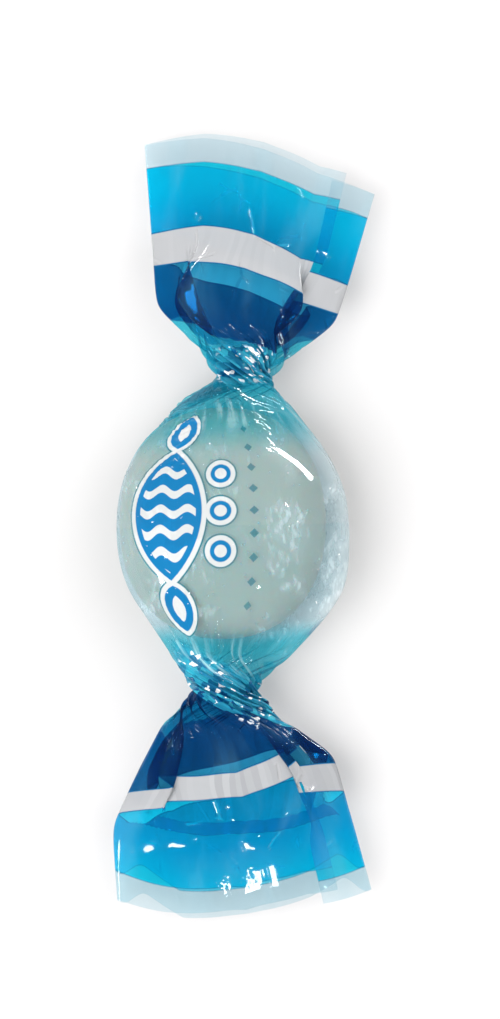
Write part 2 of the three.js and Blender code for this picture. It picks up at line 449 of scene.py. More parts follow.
def relaxed_film():
    """The finest grid of points of the sheet, relaxed on each grid in turn."""
    rng = np.random.default_rng(SEED)
    p = lay_out_film(*FIRST_GRID)
    for level, (count, crush) in enumerate(zip(ROUNDS, CRUSHES)):
        if level:
            p = finer(p)
        rows, columns = p.shape[1:]
        guide = lay_out_film(rows, columns)
        past = np.abs(np.linspace(-SHEET_LENGTH / 2, SHEET_LENGTH / 2, rows)) - TO_TWIST
        # Film to spare in each row: hardly any where it lies on the sweet, most in the twists.
        laid = np.sqrt((np.diff(guide, axis=2) ** 2).sum(0)).sum(1) / (columns - 1)
        across = laid * (1 + 0.14 * hump(past, 1.8))
        along = SHEET_LENGTH / (rows - 1) * (1 + 0.05 * hump(past, 3))[1:]
        p = p + rng.normal(0, crush, p.shape) * hump(past - 0.3, 2.3)[None, :, None]
        # How firmly each row keeps to where it was laid: most on the sweet and far out in the tails.
        hold = 0.03 + 0.15 * hump(past, 1.5)
        hold = hold + 0.17 * smoothstep(-past, 3.5, 6) + 0.2 * smoothstep(past, 5, 9)
        slanting = 0.6 * (1 - smoothstep(past, 4, 8))
        for _ in range(count):
            relax_round(p, across, along, slanting)
            p += hold[None, :, None] * (guide - p)
            keep_off_sweet(p)
            np.maximum(p[2], FLOOR_GAP, out=p[2])
    return p


# ---- Meshes -------------------------------------------------------------------------------------


def add_object(name, data):
    ob = bpy.data.objects.new(name, data)
    bpy.context.scene.collection.objects.link(ob)
    return ob


def smooth_mesh(name, points, faces, material):
    """An object with one smooth-shaded mesh, from points in millimetres."""
    mesh = bpy.data.meshes.new(name)
    mesh.from_pydata((np.asarray(points) * MM).tolist(), [], [tuple(map(int, face)) for face in faces])
    mesh.update()
    mesh.polygons.foreach_set("use_smooth", np.ones(len(mesh.polygons), dtype=bool))
    mesh.materials.append(material)
    return add_object(name, mesh)


def sheet_faces(rows, columns):
    index = np.arange(rows * columns).reshape(rows, columns)
    return np.stack([index[:-1, :-1], index[:-1, 1:], index[1:, 1:], index[1:, :-1]], -1).reshape(-1, 4)


def add_sheet_map(ob, rows, columns):
    """A UV map of the flat sheet: U runs across it and V along it, both from 0 to 1."""
    across, along = np.meshgrid(np.linspace(0, 1, columns), np.linspace(0, 1, rows))
    flat = np.stack([across.ravel(), along.ravel()], 1)
    corners = np.zeros(len(ob.data.loops), dtype=np.int32)
    ob.data.loops.foreach_get("vertex_index", corners)
    ob.data.uv_layers.new(name="sheet").data.foreach_set("uv", flat[corners].ravel())


# ---- Nodes --------------------------------------------------------------------------------------


class Nodes:
    """Short names for making the nodes of one material or node group."""

    def __init__(self, tree):
        self.tree = tree

    def add(self, kind, inputs=None, **settings):
        node = self.tree.nodes.new(kind)
        for key, value in settings.items():
            setattr(node, key, value)
        for key, value in (inputs or {}).items():
            self.feed(node.inputs[key], value)
        return node

    def feed(self, socket, value):
        if isinstance(value, bpy.types.NodeSocket):
            self.tree.links.new(value, socket)
        else:
            socket.default_value = value

    def math(self, operation, *values, clamp=False):
        node = self.add("ShaderNodeMath", operation=operation, use_clamp=clamp)
        for socket, value in zip(node.inputs, values):
            self.feed(socket, value)
        return node.outputs[0]

    def ramp(self, value, low, high):
        """0 up to low and 1 from high, smooth between them; low may be above high."""
        inputs = {"Value": value, "From Min": low, "From Max": high}
        return self.add("ShaderNodeMapRange", inputs, interpolation_type="SMOOTHSTEP").outputs["Result"]

    def lerp(self, t, a, b):
        """a where t is 0 and b where it is 1; a and b may be numbers or sockets."""
        numbers = isinstance(a, float) and isinstance(b, float)
        return self.math("MULTIPLY_ADD", t, b - a if numbers else self.math("SUBTRACT", b, a), a)

    def off(self, value, middle):
        """How far a value is from a middle one, either way."""
        return self.math("ABSOLUTE", self.math("SUBTRACT", value, middle))

    def below(self, value, limit, soft=0.05):
        """1 where value is under a limit and 0 over it, with a soft edge."""
        return self.ramp(self.math("SUBTRACT", value, limit), soft, -soft)

    def all_of(self, *masks):
        result = masks[0]
        for mask in masks[1:]:
            result = self.math("MULTIPLY", result, mask)
        return result

    def vector(self, operation, *values):
        """A VectorMath node."""
        return self.add("ShaderNodeVectorMath", dict(enumerate(values)), operation=operation)

    def scaled(self, vector, factors):
        return self.vector("MULTIPLY", vector, factors).outputs[0]

    def xyz(self, vector):
        return self.add("ShaderNodeSeparateXYZ", {0: vector}).outputs

    def noise(self, vector, scale, detail, output="Fac", **settings):
        inputs = {"Vector": vector, "Scale": scale, "Detail": detail}
        return self.add("ShaderNodeTexNoise", inputs, **settings).outputs[output]

    def mix(self, factor, a, b, blend="MIX"):
        """Colour a where factor is 0 and b where it is 1."""
        node = self.add("ShaderNodeMix", data_type="RGBA", blend_type=blend)
        self.feed(node.inputs[0], factor)
        self.feed(node.inputs[6], a if isinstance(a, bpy.types.NodeSocket) else (*a, 1))
        self.feed(node.inputs[7], b if isinstance(b, bpy.types.NodeSocket) else (*b, 1))
        return node.outputs[2]

    def mix_shader(self, factor, a, b):
        return self.add("ShaderNodeMixShader", {0: factor, 1: a, 2: b}).outputs[0]


def add_sockets(tree, direction, **kinds):
    """Gives a node group its named inputs or outputs."""
    for name, kind in kinds.items():
        tree.interface.new_socket(name, in_out=direction, socket_type="NodeSocket" + kind)


def new_material(name):
    """A material with an empty tree, and its output node."""
    material = bpy.data.materials.new(name)
    material.use_nodes = True
    material.node_tree.nodes.clear()
    nodes = Nodes(material.node_tree)
    return material, nodes, nodes.add("ShaderNodeOutputMaterial")


# ---- The print on the sweet ---------------------------------------------------------------------

# Pointed medallions in a column, small discs and diamonds beside it. Places are in millimetres
# across and along the sheet from the middle of the large medallion, and sizes are half sizes.
PRINT_MIDDLE = (0.762, 1.4)  # a share of the sheet's width, and millimetres along it
MEDALLION = (3.1, 6.1)
SMALL_MEDALLION = (1.5, 2.1)
SMALL_MEDALLION_AT = 8.6
WAVE_SPACING = 1.9
WAVE_THICKNESS = 0.36
WAVE_HEIGHT = 0.32
WAVE_TURN = 2.6
WAVES_INSET = 0.55
SMALL_HEART_INSET = 0.85
DISC_HEART_INSET = 0.42
DISC_COLUMN = 4.7
DISC_SPACING = 3.6
DISC_RADIUS = 0.95
DIAMOND_COLUMN = 7.6
DIAMOND_SPACING = 2.1
DIAMOND = 0.42
DIAMONDS_REACH = 9.6
DASH_COLUMN = 17.5
DASH_SPACING = 2.9
DASH = (0.5, 1.05)
DASHES_AT = (7.0, 5.2)  # how far below the middle their row lies, and half its length
RIM = 0.42  # the width of the white rim
OUTLINE = 0.16  # the width of the dark line round the rim


def pointed_oval(n, x, y, size):
    """Distance outside a pointed oval, the overlap of two circles, less than 0 inside it."""
    half_width, half_height = size
    radius = (half_width**2 + half_height**2) / (2 * half_width)
    x = n.math("ADD", n.math("ABSOLUTE", x), radius - half_width)
    return n.math("SUBTRACT", distance(n, x, y), radius)


def distance(n, x, y):
    squares = n.math("MULTIPLY_ADD", x, x, n.math("MULTIPLY", y, y))
    return n.math("SQRT", squares)


def repeat(n, value, spacing):
    """Distance to the nearest of a row of evenly spaced places."""
    return n.math("PINGPONG", n.math("ADD", value, 50 * spacing), spacing / 2)


def sweet_print(n, across, along):
    """Masks of the print on the sweet: blue, white, dark teal, and blue along the film's fold."""
    middle_across, middle_along = PRINT_MIDDLE
    x = n.math("MULTIPLY", n.math("SUBTRACT", middle_across, across), SHEET_WIDTH)
    y = n.math("MULTIPLY_ADD", along, SHEET_LENGTH, -SHEET_LENGTH / 2 - middle_along)
    up = n.math("ABSOLUTE", y)
    large = pointed_oval(n, x, y, MEDALLION)
    small = pointed_oval(n, x, n.math("SUBTRACT", up, SMALL_MEDALLION_AT), SMALL_MEDALLION)
    from_disc = distance(n, n.math("SUBTRACT", x, DISC_COLUMN), repeat(n, y, DISC_SPACING))
    disc = n.math("SUBTRACT", from_disc, DISC_RADIUS)
    # Only three discs: beyond them, the distance is raised far above any limit.
    disc = n.math("MULTIPLY_ADD", n.math("GREATER_THAN", up, 1.5 * DISC_SPACING), 10.0, disc)
    shapes = n.math("MINIMUM", n.math("MINIMUM", large, small), disc)

    inside = n.below(shapes, 0.0)
    rim = n.below(shapes, RIM)
    outlined = n.below(shapes, RIM + OUTLINE)
    # White waves across the large medallion, and a white middle in the small shapes.
    wavy = n.math("MULTIPLY_ADD", n.math("SINE", n.math("MULTIPLY", x, WAVE_TURN)), WAVE_HEIGHT, y)
    waves = n.all_of(n.below(repeat(n, wavy, WAVE_SPACING), WAVE_THICKNESS), n.below(large, -WAVES_INSET))
    small_heart = n.math("ADD", small, SMALL_HEART_INSET)
    hearts = n.below(n.math("MINIMUM", small_heart, n.math("ADD", disc, DISC_HEART_INSET)), 0.0)
    rim_only = n.math("SUBTRACT", rim, inside)
    white = n.math("MAXIMUM", n.math("MAXIMUM", waves, hearts), rim_only, clamp=True)
    blue = n.math("SUBTRACT", inside, n.math("MULTIPLY", inside, white))

    diamond = n.math("ADD", n.off(x, DIAMOND_COLUMN), repeat(n, y, DIAMOND_SPACING))
    diamonds = n.all_of(n.below(diamond, DIAMOND), n.below(up, DIAMONDS_REACH))
    teal = n.math("ADD", n.math("SUBTRACT", outlined, rim), diamonds, clamp=True)

    half_width, half_length = DASH
    row_at, row_reach = DASHES_AT
    dashes = n.all_of(
        n.below(n.off(x, DASH_COLUMN), half_width),
        n.below(repeat(n, y, DASH_SPACING), half_length),
        n.below(n.off(y, -row_at), row_reach),
    )
    return blue, white, teal, dashes


# ---- The film's material ------------------------------------------------------------------------

# What one layer of film lets through.
CLEAR = (0.845, 0.945, 0.985)
CLEAR_BELOW = (0.77, 0.905, 0.95)
AQUA_THROUGH = (0.28, 0.80, 0.88)
CYAN_THROUGH = (0.02, 0.80, 0.985)
DEEP_CYAN_THROUGH = (0.005, 0.62, 0.88)
NAVY_THROUGH = (0.03, 0.41, 0.67)
DEEP_NAVY_THROUGH = (0.015, 0.31, 0.58)
# Painted shade on some panels near the twists.
PANEL_SHADE = (0.84, 0.86, 0.88)
# How much light of any colour one layer passes to what lies below it.
SHADE = (0.91, 0.91, 0.91)

# What the film and its inks look like from above.
CLEAR_INK = (0.66, 0.84, 0.90)
AQUA_INK = (0.02, 0.50, 0.68)
CYAN_INK = (0.0, 0.50, 0.82)
NAVY_INK = (0.004, 0.06, 0.20)
# White ink, a darker copy of it for painted shade, and a lighter one for the back, painted against the
# front's shade.
WHITE_INK = (0.49, 0.495, 0.51)
WHITE_SHADED = (0.39, 0.395, 0.41)
WHITE_INSIDE = (0.97, 0.98, 0.99)
LINE_INK = (0.0, 0.12, 0.28)
PRINT_BLUE = (0.008, 0.19, 0.44)
PRINT_WHITE = (0.66, 0.68, 0.68)
PRINT_TEAL = (0.02, 0.20, 0.26)
PRINT_DASHES = (0.04, 0.15, 0.36)
# Painted shade and painted sheen on the facets of crushed film.
DARK_FACET = (0.0, 0.09, 0.30)
LIGHT_FACET = (0.06, 0.66, 0.86)
STRAND_INK = (0.42, 0.72, 0.78)
HAZE_INK = (0.22, 0.56, 0.70)
# Painted light on the fold beside the sweet.
WORN_INK = (0.90, 0.96, 0.98)
# Painted glints.
CREASE_WHITE = (1.0, 1.0, 1.0)

# Distances from the end edge: where the aqua wash is whole, and where it has gone in the lower and in
# the upper half of the sheet.
AQUA_START = 27.8
AQUA_ENDS = (30.0, 32.5)
# Where the film starts to lie on the sweet.
ON_SWEET = (27.0, 30.0)
# The folded edge beside the sweet, as a share of the sheet's width.
FOLD_AT = 0.42
# Half the width of the dark line where two inks meet.
LINE_HALF = 0.06
# The middle of the crinkled patch on the lower tail's bulge, and how far from there the crinkles have
# gone, and are whole.
RUMPLED_AT = (-1.7, -31.8, 5.2)
RUMPLED_REACH = (3.6, 1.6)

# Patterns in space: how many of each fit in a metre, and how far the facets' edges waver.
FACETS = 1200.0
SPECKS = 2300.0
WAVER = 1400.0
WAVER_REACH = (0.7 * MM, 0.7 * MM, 0.7 * MM)
CRINKLES = 420.0
CREASE_BREAKS = 330.0
SCUFF_PATCHES = 230.0
SCRATCHES = (2500.0, 1000.0, 1000.0)
SCRATCH_TURN = 0.35  # radians from straight along the sweet
# Patterns on the flat sheet: how many of each fit across it, and along it.
HAZE_STREAKS = (13.0, 6.0, 0.0)
STRANDS = (44.0, 10.0, 0.0)
DENTS = (17.0, 9.0, 0.0)
PANELS = 17.0
# Hairline creases, in cells to the millimetre.
CREASES = 0.2


class FilmSheet:
    """Where each spot of the film lies: on the flat sheet, round a tail, and in space."""

    def __init__(self, n):
        self.n = n
        self.uv = n.add("ShaderNodeUVMap", uv_map="sheet").outputs[0]
        self.across, self.along, _ = n.xyz(self.uv)
        self.from_end = n.math("MULTIPLY", n.math("SUBTRACT", 0.5, n.off(self.along, 0.5)), SHEET_LENGTH)
        self.is_upper = n.math("GREATER_THAN", self.along, 0.5)
        # Half turns round the tail: the front up to 1, the back up to 2, and then the front again.
        half_turns = n.math("MULTIPLY_ADD", self.across, 2 * TURNS, SEAM_ANGLE / math.pi)
        self.is_back = n.math("LESS_THAN", n.off(half_turns, 1.5), 0.5)
        part = n.math("FRACT", half_turns)
        self.to_right = n.lerp(self.is_back, n.math("SUBTRACT", 1.0, part), part)
        arch = n.math("MULTIPLY", n.math("MULTIPLY", part, 4.0), n.math("SUBTRACT", 1.0, part))
        # The back's stripes rise more steeply at the sides, and run level between.
        self.arch = n.lerp(self.is_back, arch, n.ramp(arch, 0.2, 0.95))
        self.place = n.add("ShaderNodeTexCoord").outputs["Object"]
        self.on_sweet = n.ramp(self.from_end, *ON_SWEET)

    def either(self, lower, upper):
        """One number in the lower half of the sheet, and another in the upper half."""
        return self.n.lerp(self.is_upper, float(lower), float(upper))

    def zone(self, start, end):
        """0 at one distance from the end edge and before it, and 1 at the other and past it."""
        return self.n.ramp(self.from_end, start, end)


def film_stripes(n, sheet):
    """Masks of the cyan, white and navy stripes, of the film inside them, and of the thin, dark lines
    where two inks meet and overlap."""
    inside_of, lines = [], []
    for low, high in zip(LOWER.stripes, UPPER.stripes):
        left, right, front, back = (sheet.either(a, b) for a, b in zip(low, high))
        further = n.lerp(sheet.is_back, front, back)
        edge = n.math("MULTIPLY_ADD", sheet.arch, further, n.lerp(sheet.to_right, left, right))
        inside_of.append(n.math("SUBTRACT", 1.0, n.below(sheet.from_end, edge)))
        lines.append(n.below(n.off(sheet.from_end, edge), LINE_HALF))
    stripes = [n.math("SUBTRACT", a, b, clamp=True) for a, b in zip(inside_of, inside_of[1:])]
    return stripes, inside_of[-1], lines[:-1]


def crushed_film(n, sheet):
    """How crushed the film is: in the upper twist's middle, and in a slanting band over the lower."""
    low, high = LOWER.crush, UPPER.crush
    x, y, _ = n.xyz(sheet.place)
    aside = n.math("MULTIPLY_ADD", x, 1 / MM, sheet.either(-low.at[0], -high.at[0]))
    outwards = n.math("MULTIPLY_ADD", n.math("ABSOLUTE", y), 1 / MM, sheet.either(-low.at[1], -high.at[1]))
    outwards = n.math("MULTIPLY_ADD", aside, sheet.either(-low.slant, -high.slant), outwards)
    inner = sheet.either(low.inner, high.inner)
    gone, whole = (sheet.either(a, b) for a, b in zip(low.aside, high.aside))
    return n.all_of(
        n.ramp(outwards, inner, n.math("ADD", inner, 1.4)),
        n.ramp(outwards, 3.6, 1.8),
        n.ramp(n.math("ABSOLUTE", aside), gone, whole),
    )


def add_print(n, sheet, marks):
    """The stripes, the aqua wash at the twists, and the print on the sweet."""
    (marks.cyan, marks.white, marks.navy), inner_film, marks.lines = film_stripes(n, sheet)
    # The wash is strongest in the twist and gone on the sweet.
    marks.aqua = n.math("MULTIPLY", inner_film, sheet.zone(sheet.either(*AQUA_ENDS), AQUA_START))
    prints = sweet_print(n, sheet.across, sheet.along)
    marks.blue_print, marks.white_print, marks.teal_print, marks.dashes = prints


def add_crush(n, sheet, marks):
    """Crushed film breaks up into small flat facets, each tilted its own way, with painted shade and sheen
    on the facets and painted glints on some.
    """
    marks.crushed = crushed_film(n, sheet)
    waver = n.noise(sheet.place, WAVER, 1.0, "Color")
    uneven = n.vector("MULTIPLY_ADD", waver, WAVER_REACH, sheet.place).outputs[0]
    facet = n.add("ShaderNodeTexVoronoi", {"Vector": uneven, "Scale": FACETS}).outputs
    tilt = n.vector("SUBTRACT", facet["Color"], (0.5, 0.5, 0.5)).outputs[0]
    arm = n.vector("SUBTRACT", uneven, facet["Position"]).outputs[0]
    lever = n.vector("DOT_PRODUCT", arm, tilt).outputs["Value"]
    marks.facet_height = n.math("MULTIPLY", n.math("MULTIPLY", lever, FACETS), marks.crushed)
    # Painted shade and sheen: each facet is coloured lighter or darker at random, as if it caught the light
    # its own way.
    marks.facet_shade = n.add("ShaderNodeSeparateColor", {0: facet["Color"]}).outputs[1]
    # Painted glints: white specks where the film is crushed hardest, in some of a finer set of cells.
    marks.specks = n.add("ShaderNodeTexVoronoi", {"Vector": uneven, "Scale": SPECKS}).outputs
    marks.speck_draws = n.add("ShaderNodeSeparateColor", {0: marks.specks["Color"]}).outputs
    few = n.math("GREATER_THAN", marks.speck_draws[0], sheet.either(0.93, 0.88))
    marks.whitened = n.math("MULTIPLY", few, n.ramp(marks.crushed, 0.5, 0.9))


def add_tail_marks(n, sheet, marks):
    """What shows in the tails, and between the twists and the sweet."""
    # The tails are hazy in long, soft streaks, less so over the white stripe.
    haze = n.noise(n.scaled(sheet.uv, HAZE_STREAKS), 1.0, 4.0, noise_dimensions="2D")
    off_white = n.math("MULTIPLY_ADD", marks.white, -0.5, 0.5)
    marks.hazy = n.all_of(n.ramp(haze, 0.46, 0.72), sheet.zone(19.0, 13.0), off_white)
    # Between twist and sweet the film is drawn into pale creases that run along it.
    strands = n.noise(n.scaled(sheet.uv, STRANDS), 1.0, 2.0, noise_dimensions="2D")
    marks.strands = n.all_of(n.ramp(strands, 0.46, 0.74), sheet.zone(24.0, 26.0), sheet.zone(30.5, 27.5))
    # Painted shade: nearer the twists the tails lie in flat panels, each painted a little lighter or
    # darker.
    wandering = n.math("MULTIPLY_ADD", sheet.across, PANELS, n.math("MULTIPLY", haze, 0.5))
    panels = n.add("ShaderNodeTexVoronoi", {"W": wandering}, voronoi_dimensions="1D").outputs["Color"]
    panel_shade = n.add("ShaderNodeSeparateColor", {0: panels}).outputs[0]
    near_twist = n.all_of(sheet.zone(7.0, 10.0), sheet.zone(24.0, 20.0), sheet.either(1.0, 0.3))
    marks.panels = n.math("MULTIPLY", panel_shade, near_twist)
    # Short hairline creases here and there: dents in the relief, with a painted highlight along each.
    on_sheet = n.scaled(sheet.uv, (SHEET_WIDTH, SHEET_LENGTH, 0.0))
    creases = n.add("ShaderNodeTexVoronoi", {"Vector": on_sheet, "Scale": CREASES},
                    voronoi_dimensions="2D", feature="DISTANCE_TO_EDGE").outputs["Distance"]
    broken = n.ramp(n.noise(sheet.place, CREASE_BREAKS, 2.0), 0.54, 0.62)
    in_tail = n.all_of(sheet.zone(20.0, 17.0), sheet.zone(2.0, 4.0))
    marks.creased = n.all_of(n.below(creases, 0.028, 0.014), broken, in_tail)


def add_wear(n, sheet, marks):
    """Wear on the sweet: fine, pale scratches in uneven patches, with painted glints where they cross.
    Beside it, painted light on the film's fold.
    """
    stretched = n.add("ShaderNodeMapping", {
        "Vector": sheet.place, "Rotation": (0.0, 0.0, SCRATCH_TURN), "Scale": SCRATCHES,
    }).outputs[0]
    scratch = n.noise(stretched, 1.0, 3.0)
    patch = n.noise(sheet.place, SCUFF_PATCHES, 2.0)
    marks.scuffed = n.all_of(n.ramp(scratch, 0.44, 0.7), n.ramp(patch, 0.42, 0.64), sheet.on_sweet)
    marks.blotched = n.math("MULTIPLY", n.ramp(patch, 0.5, 0.7), sheet.on_sweet)
    # Painted glints: rare white specks in the scuffed patches.
    small = n.below(marks.specks["Distance"], 0.2)
    rare = n.math("LESS_THAN", marks.speck_draws[1], 0.05)
    marks.glints = n.all_of(small, rare, n.ramp(patch, 0.42, 0.55), sheet.on_sweet)
    # Painted light: the film's folded edge beside the sweet is painted whitish, against the shade of the
    # sweet that falls below it.
    by_fold = n.below(n.off(sheet.across, FOLD_AT), 0.045, 0.03)
    marks.worn = n.math("MULTIPLY", by_fold, sheet.zone(27.0, 31.0))


def film_marks(n, sheet):
    """Masks of all that shows on the film, from its print to its creases and wear, and its painted light
    and shade.
    """
    marks = SimpleNamespace()
    for add_marks in (add_print, add_crush, add_tail_marks, add_wear):
        add_marks(n, sheet, marks)
    return marks


def film_tint(n, sheet, marks):
    """The colour that the film gives to what is seen through it."""
    through = n.mix(marks.aqua, n.mix(sheet.is_upper, CLEAR_BELOW, CLEAR), AQUA_THROUGH)
    # The cyan and the navy deepen towards the twist.
    deeper = sheet.zone(sheet.either(1.5, 3.5), sheet.either(7.0, 9.0))
    through = n.mix(marks.cyan, through, n.mix(deeper, CYAN_THROUGH, DEEP_CYAN_THROUGH))
    deeper = sheet.zone(13.0, 17.5)
    through = n.mix(marks.navy, through, n.mix(deeper, NAVY_THROUGH, DEEP_NAVY_THROUGH))
    # Painted shade: some panels near the twists darken what shows through them.
    return n.mix(marks.panels, through, PANEL_SHADE, "MULTIPLY")


def film_inks(n, sheet, marks):
    """The colour of what lies on the film, painted light and shade among it, and how much of the light from
    below it covers.
    """
    ink = n.mix(marks.aqua, CLEAR_INK, AQUA_INK)
    # Crushed film takes the facets' painted shade and sheen.
    ink = n.mix(marks.crushed, ink, n.mix(marks.facet_shade, DARK_FACET, LIGHT_FACET))
    cover = n.math("MULTIPLY_ADD", marks.aqua, 0.06, 0.055)
    cover = n.math("MULTIPLY_ADD", marks.crushed, 0.5, cover)
    # The back's white stripe is only seen through the front, and is painted whiter, against the front's
    # shade; the front's white takes the panels' painted shade.
    whites = n.mix(sheet.is_back, n.mix(marks.panels, WHITE_INK, WHITE_SHADED), WHITE_INSIDE)
    line_clear, line_white, line_navy = marks.lines
    # Some layers are painted light: glints, light on the fold, and highlights along hairline creases.
    layers = (
        (marks.strands, STRAND_INK, 0.26), (marks.cyan, CYAN_INK, 0.08), (marks.navy, NAVY_INK, 0.06),
        (marks.white, whites, 0.86), (marks.blue_print, PRINT_BLUE, 0.85),
        (marks.white_print, PRINT_WHITE, 0.85), (marks.teal_print, PRINT_TEAL, 0.55),
        (marks.dashes, PRINT_DASHES, 0.7), (marks.whitened, CREASE_WHITE, 0.9), (marks.hazy, HAZE_INK, 0.2),
        (line_clear, LINE_INK, 0.25), (line_white, LINE_INK, 0.3), (line_navy, LINE_INK, 0.7),
        (marks.scuffed, None, 0.3), (marks.blotched, None, 0.19), (marks.worn, WORN_INK, 0.22),
        (marks.glints, CREASE_WHITE, 0.8), (marks.creased, None, 0.22),
    )
    for mask, colour, covers in layers:
        if colour is not None:
            ink = n.mix(mask, ink, colour)
        cover = n.math("MULTIPLY_ADD", mask, covers, cover, clamp=True)
    return ink, cover


def film_relief(n, sheet, marks):
    """The film's bumps: crinkles, facets, creases, and long, faint dents along the tails."""
    crinkle = n.add("ShaderNodeTexNoise", {
        "Vector": sheet.place, "Scale": CRINKLES, "Detail": 3.0, "Roughness": 0.6,
    }).outputs["Fac"]
    height = n.math("MULTIPLY", crinkle, n.math("MULTIPLY_ADD", marks.crushed, 0.6, 0.06))
    away = n.vector("DISTANCE", sheet.place, tuple(at * MM for at in RUMPLED_AT)).outputs["Value"]
    rumpled = n.ramp(away, *(reach * MM for reach in RUMPLED_REACH))
    height = n.math("MULTIPLY_ADD", crinkle, n.math("MULTIPLY", rumpled, 0.6), height)
    dents = n.noise(n.scaled(sheet.uv, DENTS), 1.0, 1.0, noise_dimensions="2D")
    height = n.math("MULTIPLY_ADD", n.math("MULTIPLY", dents, sheet.zone(24.0, 16.0)), 0.5, height)
    height = n.math("MULTIPLY_ADD", marks.creased, 0.5, height)
    height = n.math("MULTIPLY_ADD", marks.facet_height, 0.8, height)
    return n.add("ShaderNodeBump", {"Strength": 0.5, "Distance": 0.3 * MM, "Height": height}).outputs[0]


def film_material():
    """Clear, printed film: inks over what shows through it, under a thin gloss."""
    material, n, output = new_material("printed_film")
    sheet = FilmSheet(n)
    marks = film_marks(n, sheet)
    through = film_tint(n, sheet, marks)
    ink, cover = film_inks(n, sheet, marks)
    normal = film_relief(n, sheet, marks)

    # Light that only lights what lies below the film passes it uncoloured.
    path = n.add("ShaderNodeLightPath").outputs
    lighting = n.math("MAXIMUM", path["Is Shadow Ray"], path["Is Diffuse Ray"])
    clear = n.add("ShaderNodeBsdfTransparent", {"Color": n.mix(lighting, through, SHADE)}).outputs[0]
    printed = n.add("ShaderNodeBsdfPrincipled", {
        "Base Color": ink, "Roughness": 0.5, "Specular IOR Level": 0.0, "Normal": normal,
    }).outputs[0]
    gloss = n.add("ShaderNodeBsdfGlossy", {"Roughness": 0.06, "Normal": normal}).outputs[0]
    # Film mirrors the same from either side: a little when seen square on, more when seen edge on.
    edge_on = n.add("ShaderNodeLayerWeight", {"Blend": 0.5, "Normal": normal}).outputs["Facing"]
    mirrored = n.math("MULTIPLY_ADD", n.math("POWER", edge_on, 4.0), 0.2, 0.055)
    n.feed(output.inputs[0], n.mix_shader(mirrored, n.mix_shader(cover, clear, printed), gloss))
    return material


# ---- The sweet ----------------------------------------------------------------------------------

# Rings and spokes of the sweet's mesh.
SWEET_GRID = (96, 160)
SUGAR_CLOUDS = 120.0  # how many fit in a metre
SUGAR_COLOURS = ((0.395, 0.47, 0.435), (0.452, 0.522, 0.487))
BUBBLE_COLOURS = ((0.60, 0.68, 0.65), (0.78, 0.86, 0.84))
BUBBLES_PER_MM2 = 0.35
BUBBLE_RADIUS = 0.11
SMALLEST_BUBBLE = 0.4  # as a share of the largest
BUBBLES_ABOVE = 1.5  # from the height of the sweet's middle


def sugar_cloud():
    """A node group for the faint clouds in boiled sugar."""
    tree = bpy.data.node_groups.new("sugar_cloud", "ShaderNodeTree")
    add_sockets(tree, "INPUT", Place="Vector", Dark="Color", Light="Color")
    add_sockets(tree, "OUTPUT", Colour="Color")
    n = Nodes(tree)
    given = n.add("NodeGroupInput").outputs
    cloud = n.ramp(n.noise(given["Place"], SUGAR_CLOUDS, 4.0), 0.35, 0.7)
    n.add("NodeGroupOutput", {"Colour": n.mix(cloud, given["Dark"], given["Light"])})
    return tree


def sugar_material(name, cloud, colours):
    """Boiled sugar, clouded between a darker and a lighter colour."""
    material, n, output = new_material(name)
    dark, light = ((*colour, 1) for colour in colours)
    place = n.add("ShaderNodeTexCoord").outputs["Object"]
    clouded = n.add("ShaderNodeGroup", {"Place": place, "Dark": dark, "Light": light}, node_tree=cloud)
    sugar = n.add("ShaderNodeBsdfPrincipled", {
        "Base Color": clouded.outputs[0], "Roughness": 0.3, "Specular IOR Level": 0.15, "IOR": 1.5,
        "Subsurface Weight": 0.7, "Subsurface Scale": 4 * MM,
    })
    n.feed(output.inputs[0], sugar.outputs[0])
    return material


def sweet_mesh():
    """The sweet's smooth pillow, as points and faces, closed with a fan at each pole."""
    rings, spokes = SWEET_GRID
    over = np.linspace(-np.pi / 2, np.pi / 2, rings + 1)[1:-1]
    round_ = np.linspace(0, 2 * np.pi, spokes, endpoint=False)
    over, round_ = np.meshgrid(over, round_, indexing="ij")
    spread = bend(np.cos(over), SWEET_POWER)
    lowest = SWEET_FLAT - SWEET_HALF[2]
    points = np.stack([
        SWEET_HALF[0] * spread * bend(np.cos(round_), SWEET_POWER),
        SWEET_HALF[1] * spread * bend(np.sin(round_), SWEET_POWER),
        np.maximum(SWEET_HALF[2] * bend(np.sin(over), SWEET_POWER), lowest),
    ], -1).reshape(-1, 3)
    count = len(points)
    poles = np.array([[0, 0, lowest], [0, 0, SWEET_HALF[2]]])
    index = np.arange(count).reshape(rings - 1, spokes)
    turn = np.roll(index, -1, axis=1)
    quads = np.stack([index[:-1], turn[:-1], turn[1:], index[1:]], -1).reshape(-1, 4)
    bottom = [(count, b, a) for a, b in zip(index[0], turn[0])]
    top = [(count + 1, a, b) for a, b in zip(index[-1], turn[-1])]
    return np.concatenate([points, poles]) + CORE, [*quads, *bottom, *top]


